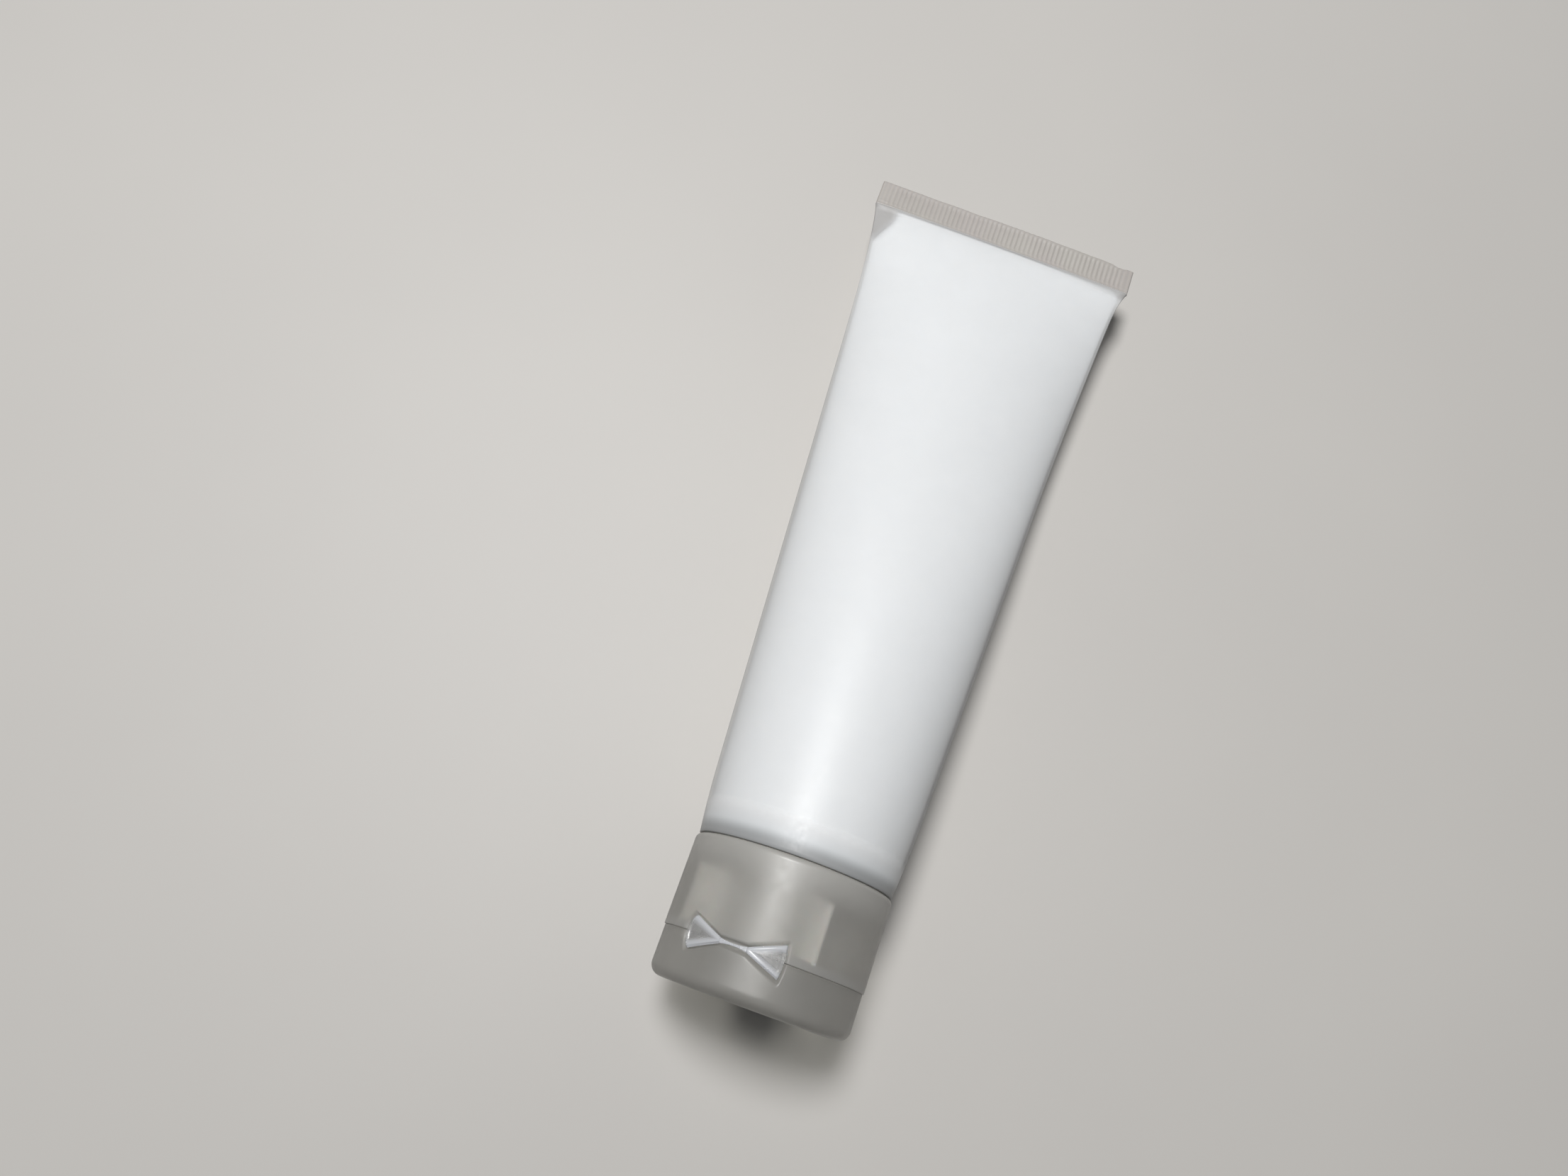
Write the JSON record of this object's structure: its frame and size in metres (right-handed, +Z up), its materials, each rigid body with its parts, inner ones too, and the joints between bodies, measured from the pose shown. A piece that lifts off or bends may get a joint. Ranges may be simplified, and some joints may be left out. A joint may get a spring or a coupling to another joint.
{
  "type": "shaving cream tube",
  "caption": "Frosted plastic squeeze tube of white shaving cream with a flat crimped tail and a screw-on flip-top cap on a butterfly hinge, lying on its side.",
  "frame": {"origin": "on the surface that the tube lies on, under the middle of its bounding box", "axes": "+Y along the tube from the cap to the crimped tail, +X across the tube, +Z up"},
  "size_m": [0.055, 0.162, 0.035],
  "materials": {
    "film": "frosted translucent polyethylene film, satin",
    "head_plastic": "natural polyethylene, satin",
    "cream": "smooth white cream",
    "cap_plastic": "frosted translucent polypropylene, satin",
    "hinge_plastic": "thin flexed polypropylene, satin"
  },
  "bodies": {
    "tube": {"tube_sleeve": "film", "tube_head": "head_plastic", "cream_fill": "cream"},
    "spout": {"spout": "cap_plastic"},
    "cap_base": {"cap_base": "cap_plastic", "thread_collar": "cap_plastic", "hinge_film": "hinge_plastic"},
    "lid": {"cap_lid": "cap_plastic", "lid_plug": "cap_plastic"},
    "strap_left": {"hinge_strap_left": "hinge_plastic"},
    "strap_right": {"hinge_strap_right": "hinge_plastic"}
  },
  "joints": [
    {"name": "cap_travel", "type": "slide", "parent": "tube", "child": "spout", "axis": [0, -1, 0], "range_m": [0, 0.006]},
    {"name": "cap_turn", "type": "hinge", "parent": "spout", "child": "cap_base", "pos_m": [0, -0.0729, 0.01755], "axis": [0, -1, 0], "range_deg": [0, 725]},
    {"name": "lid_flip", "type": "hinge", "parent": "cap_base", "child": "lid", "pos_m": [-0.00654, -0.0729, 0.03373], "axis": [-0.9272, 0, -0.3746], "range_deg": [0, 140], "deforming": ["hinge_film"]},
    {"name": "strap_left_fold", "type": "hinge", "parent": "cap_base", "child": "strap_left", "pos_m": [-0.00873, -0.07245, 0.03277], "axis": [-0.7231, 0.3628, -0.5878], "range_deg": [0, 75]},
    {"name": "strap_right_fold", "type": "hinge", "parent": "cap_base", "child": "strap_right", "pos_m": [-0.00429, -0.07245, 0.03456], "axis": [0.9285, 0.3628, 0.0795], "range_deg": [-75, 0]}
  ],
  "couplings": [
    {"joint": "cap_turn", "follows": "cap_travel", "rad_per_m": 2094.4},
    {"joint": "strap_left_fold", "follows": "lid_flip", "ratio": 0.53214},
    {"joint": "strap_right_fold", "follows": "lid_flip", "ratio": -0.53214}
  ]
}
